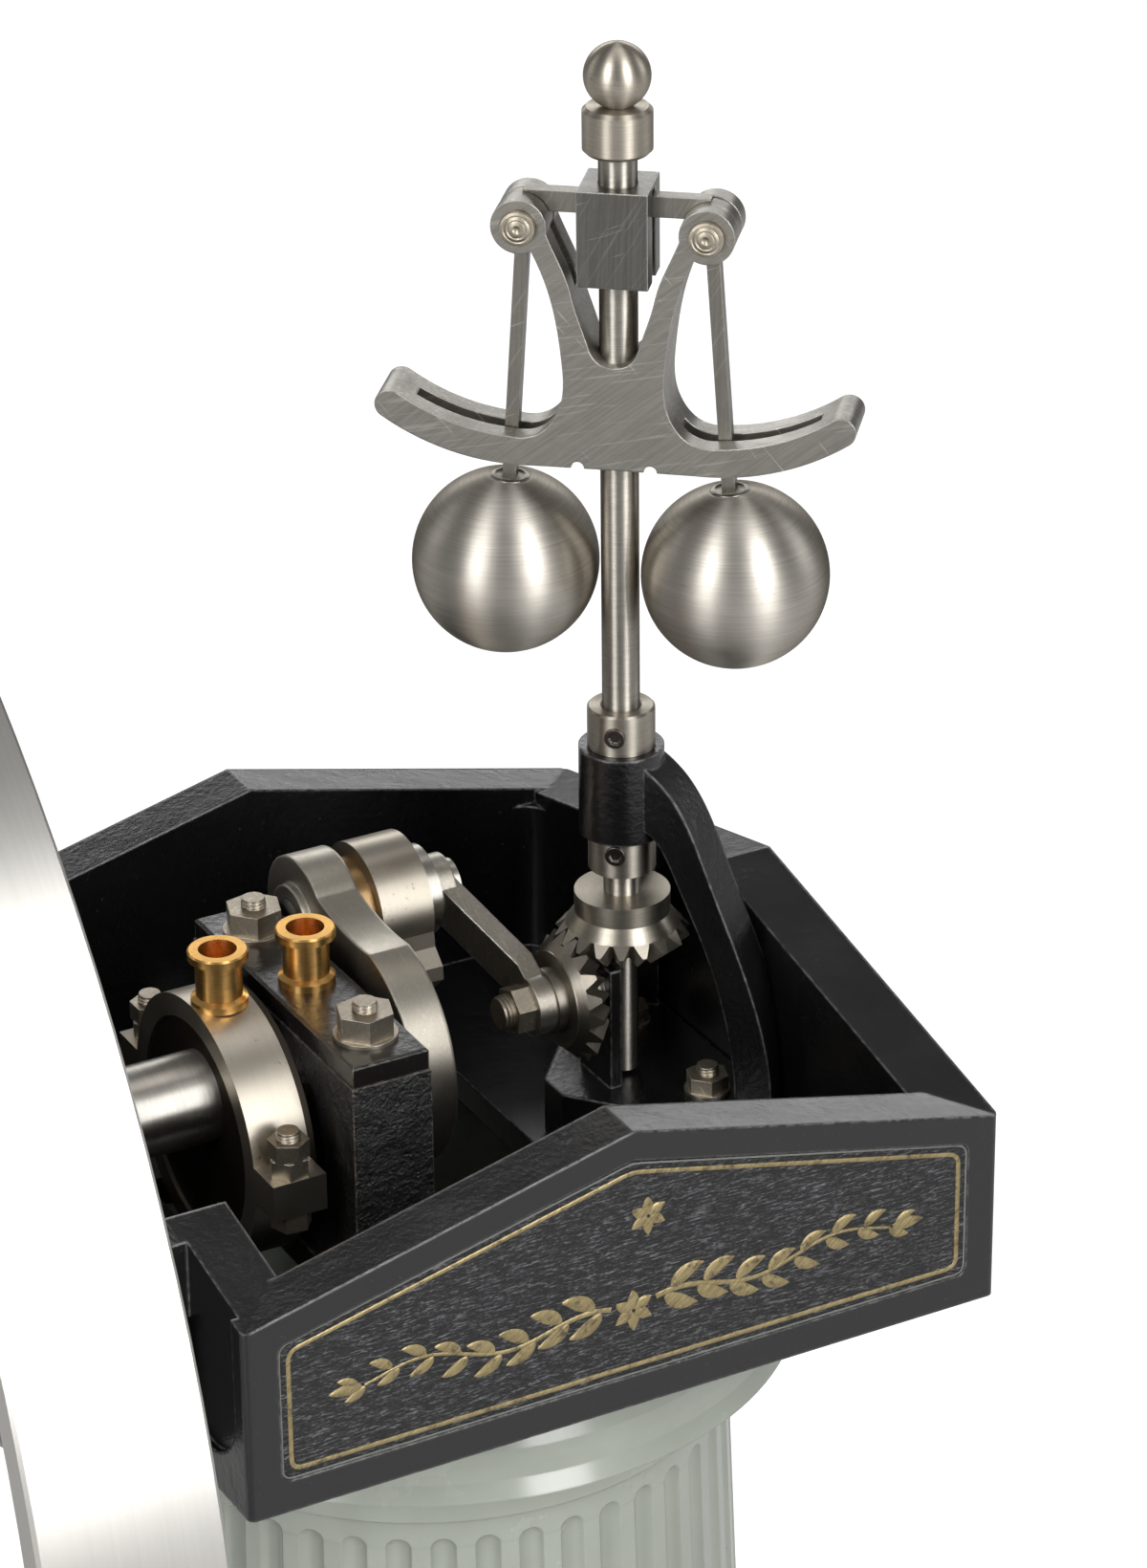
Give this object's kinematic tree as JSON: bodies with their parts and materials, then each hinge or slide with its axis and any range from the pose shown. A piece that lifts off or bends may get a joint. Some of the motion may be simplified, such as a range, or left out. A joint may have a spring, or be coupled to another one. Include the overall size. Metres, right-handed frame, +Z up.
{
  "type": "model stationary steam engine",
  "caption": "Model stationary engine on a fluted column: crank in an open trough, overhung flywheel, eccentric, mitre gears and ball governor.",
  "frame": {"origin": "ground point under the centre of the column, on the plinth's underside", "axes": "+X along the crankshaft away from the flywheel, +Y to the back, +Z up; the front plate faces -Y"},
  "size_m": [0.1695, 0.2576, 0.3923],
  "materials": {
    "column_paint": "gloss enamel",
    "trough_enamel": "gloss black over cast iron",
    "bearing_black": "satin black, worn edges",
    "plate_slate": "grained dark plate with gold line",
    "bright_steel": "turned",
    "ground_steel": "ground flat",
    "ball_steel": "turned and polished",
    "fastener_steel": "dull plated",
    "rim_steel": "turned bright",
    "wheel_paint": "dark maroon enamel",
    "brass": "turned",
    "bronze": "dull"
  },
  "bodies": {
    "frame": {"plinth": "column_paint", "column_base": "column_paint", "column_shaft": "column_paint", "column_capital": "column_paint", "entablature_trough": "trough_enamel", "front_plate": "plate_slate", "back_plate": "plate_slate", "inner_bearing_block": "bearing_black", "outer_bearing_block": "bearing_black", "inner_bearing_cap": "bearing_black", "outer_bearing_cap": "bearing_black", "bearing_bushes": "bronze", "bearing_nuts": "fastener_steel", "bearing_oil_cups": "brass", "governor_bracket": "trough_enamel", "bracket_nuts": "fastener_steel", "bracket_bush": "bright_steel"},
    "crank": {"crankshaft": "bright_steel", "flywheel_rim": "rim_steel", "flywheel_spokes": "wheel_paint", "crank_web": "bright_steel", "crank_pin": "bright_steel", "eccentric_sheave": "ground_steel", "drive_arm": "ground_steel", "drive_nut": "fastener_steel", "drive_shaft": "bright_steel", "bevel_wheel": "bright_steel"},
    "rod": {"connecting_rod": "bright_steel", "big_end_bush": "bronze"},
    "strap": {"eccentric_strap_upper": "bright_steel", "eccentric_strap_lower": "bright_steel", "strap_bolts": "fastener_steel", "strap_oil_cup": "brass", "eccentric_rod": "bright_steel"},
    "governor": {"governor_spindle": "bright_steel", "bevel_pinion": "bright_steel", "spindle_collars": "bright_steel", "governor_frame": "ground_steel", "pivot_pins": "fastener_steel", "finial": "bright_steel"},
    "left_arm": {"left_ball_arm": "ground_steel", "left_ball": "ball_steel"},
    "right_arm": {"right_ball_arm": "ground_steel", "right_ball": "ball_steel"},
    "sleeve": {"governor_sleeve": "ground_steel"}
  },
  "joints": [
    {"name": "crankshaft_turn", "type": "hinge", "parent": "frame", "child": "crank", "pos_m": [0, 0, 0.2635], "axis": [1, 0, 0], "continuous": true},
    {"name": "connecting_rod_pivot", "type": "hinge", "parent": "crank", "child": "rod", "pos_m": [0.003, 0.01714, 0.2738], "axis": [1, 0, 0], "continuous": true},
    {"name": "eccentric_strap_pivot", "type": "hinge", "parent": "crank", "child": "strap", "pos_m": [-0.0263, 0.0015, 0.25842], "axis": [1, 0, 0], "continuous": true},
    {"name": "governor_turn", "type": "hinge", "parent": "frame", "child": "governor", "pos_m": [0.0287, 0, 0.29], "axis": [0, 0, 1], "continuous": true},
    {"name": "right_ball_swing", "type": "hinge", "parent": "governor", "child": "right_arm", "pos_m": [0.03735, -0.00712, 0.3647], "axis": [-0.6361, -0.7716, 0], "range_deg": [0, 16]},
    {"name": "left_ball_swing", "type": "hinge", "parent": "governor", "child": "left_arm", "pos_m": [0.02006, 0.00712, 0.3647], "axis": [0.6361, 0.7716, 0], "range_deg": [0, 16]},
    {"name": "sleeve_slide", "type": "slide", "parent": "governor", "child": "sleeve", "axis": [0, 0, 1], "range_m": [-0.00235, 0]}
  ],
  "couplings": [
    {"joint": "connecting_rod_pivot", "follows": "crankshaft_turn", "ratio": -1},
    {"joint": "eccentric_strap_pivot", "follows": "crankshaft_turn", "ratio": -1},
    {"joint": "governor_turn", "follows": "crankshaft_turn", "ratio": 1},
    {"joint": "left_ball_swing", "follows": "right_ball_swing", "ratio": 1},
    {"joint": "sleeve_slide", "follows": "right_ball_swing", "m_per_rad": -0.008236}
  ]
}
